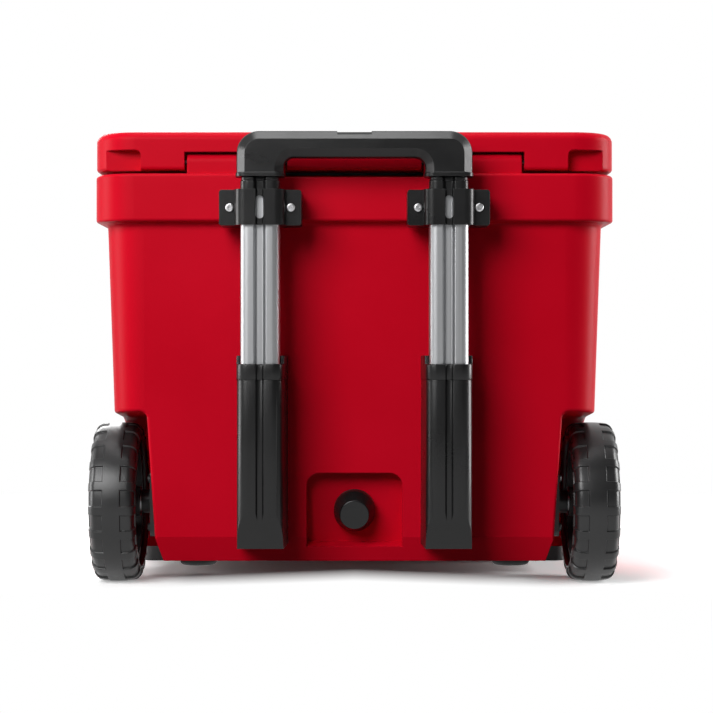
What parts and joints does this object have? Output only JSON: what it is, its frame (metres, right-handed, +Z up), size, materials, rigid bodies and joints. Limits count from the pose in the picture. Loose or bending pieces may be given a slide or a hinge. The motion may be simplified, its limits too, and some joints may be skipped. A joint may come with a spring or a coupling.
{
  "type": "wheeled cooler",
  "caption": "Insulated hard cooler on two wheels with a hinged lid, front latches, a telescopic pull handle on the rear wall and a screw-out drain plug.",
  "frame": {"origin": "bottom centre of the overall box, on the floor", "axes": "+X across, to the right seen from the handle side; +Y towards the latch side, away from the handle; +Z up"},
  "size_m": [0.587, 0.5182, 0.5],
  "materials": {
    "red_shell": "satin moulded polyethylene",
    "foam": "rigid foam",
    "rubber": "matt rubber",
    "tyre": "satin moulded tread",
    "aluminium": "anodised",
    "steel": "plain",
    "black_plastic": "satin"
  },
  "bodies": {
    "cooler_body": {"axle_bolts": "steel", "axle_clips": "steel", "axle_left": "steel", "axle_right": "steel", "axle_washers": "steel", "body_foam": "foam", "body_liner": "red_shell", "body_shell": "red_shell", "clamp_screws": "steel", "drain_bushing": "black_plastic", "foot_screws": "steel", "front_feet": "rubber", "handle_sleeve_left": "black_plastic", "handle_sleeve_right": "black_plastic", "hinge_rod_left": "steel", "hinge_rod_right": "steel", "keeper_screws": "steel", "latch_keepers": "steel", "outer_bushes": "black_plastic", "outer_tube_left": "aluminium", "outer_tube_right": "aluminium", "rear_pads": "rubber", "sleeve_collar_left": "black_plastic", "sleeve_collar_right": "black_plastic", "tube_clamp_left": "black_plastic", "tube_clamp_right": "black_plastic"},
    "lid": {"lid_shell": "red_shell", "lid_foam": "foam", "lid_gasket": "rubber", "latch_brackets": "steel", "bracket_screws": "steel", "latch_pins": "steel"},
    "latch_left": {"latch_left": "rubber"},
    "latch_right": {"latch_right": "rubber"},
    "handle_mid": {"mid_tube_left": "aluminium", "mid_tube_right": "aluminium", "mid_bushes": "black_plastic", "mid_glides": "black_plastic"},
    "handle_top": {"inner_tube_left": "aluminium", "inner_tube_right": "aluminium", "inner_glides": "black_plastic", "lock_blocks": "black_plastic", "lock_pins": "steel", "grip_front_half": "black_plastic", "grip_rear_half": "black_plastic", "grip_screws": "steel", "button_springs": "steel"},
    "button": {"release_button": "black_plastic", "release_yoke": "black_plastic", "push_rods": "steel"},
    "wheel_left": {"tyre_left": "tyre", "wheel_hub_left": "black_plastic", "wheel_bush_left": "black_plastic", "hub_cap_left": "black_plastic"},
    "wheel_right": {"tyre_right": "tyre", "wheel_hub_right": "black_plastic", "wheel_bush_right": "black_plastic", "hub_cap_right": "black_plastic"},
    "drain_slide": {"drain_seal": "rubber"},
    "drain_plug": {"drain_plug": "black_plastic"}
  },
  "joints": [
    {"name": "lid_hinge", "type": "hinge", "parent": "cooler_body", "child": "lid", "pos_m": [0, -0.1896, 0.467], "axis": [1, 0, 0], "range_deg": [0, 90]},
    {"name": "latch_left_swing", "type": "hinge", "parent": "lid", "child": "latch_left", "pos_m": [-0.15, 0.2474, 0.472], "axis": [1, 0, 0], "range_deg": [-8, 90]},
    {"name": "latch_right_swing", "type": "hinge", "parent": "lid", "child": "latch_right", "pos_m": [0.15, 0.2474, 0.472], "axis": [1, 0, 0], "range_deg": [-8, 90]},
    {"name": "handle_mid_slide", "type": "slide", "parent": "cooler_body", "child": "handle_mid", "axis": [0, 0, 1], "range_m": [0, 0.28]},
    {"name": "handle_top_slide", "type": "slide", "parent": "handle_mid", "child": "handle_top", "axis": [0, 0, 1], "range_m": [0, 0.28]},
    {"name": "button_press", "type": "slide", "parent": "handle_top", "child": "button", "axis": [0, 0, -1], "range_m": [0, 0.004], "stiffness_N_per_m": 3000, "springref_m": -0.0015, "deforming": ["button_springs"]},
    {"name": "wheel_left_spin", "type": "hinge", "parent": "cooler_body", "child": "wheel_left", "pos_m": [-0.2675, -0.0946, 0.09], "axis": [1, 0, 0], "continuous": true},
    {"name": "wheel_right_spin", "type": "hinge", "parent": "cooler_body", "child": "wheel_right", "pos_m": [0.2675, -0.0946, 0.09], "axis": [1, 0, 0], "continuous": true},
    {"name": "drain_out", "type": "slide", "parent": "cooler_body", "child": "drain_slide", "axis": [0, -0.9877, -0.1564], "range_m": [0, 0.024]},
    {"name": "drain_turn", "type": "hinge", "parent": "drain_slide", "child": "drain_plug", "pos_m": [0, -0.16006, 0.086], "axis": [0, -0.9877, -0.1564], "range_deg": [0, 1080]}
  ],
  "couplings": [
    {"joint": "drain_turn", "follows": "drain_out", "rad_per_m": 785}
  ]
}
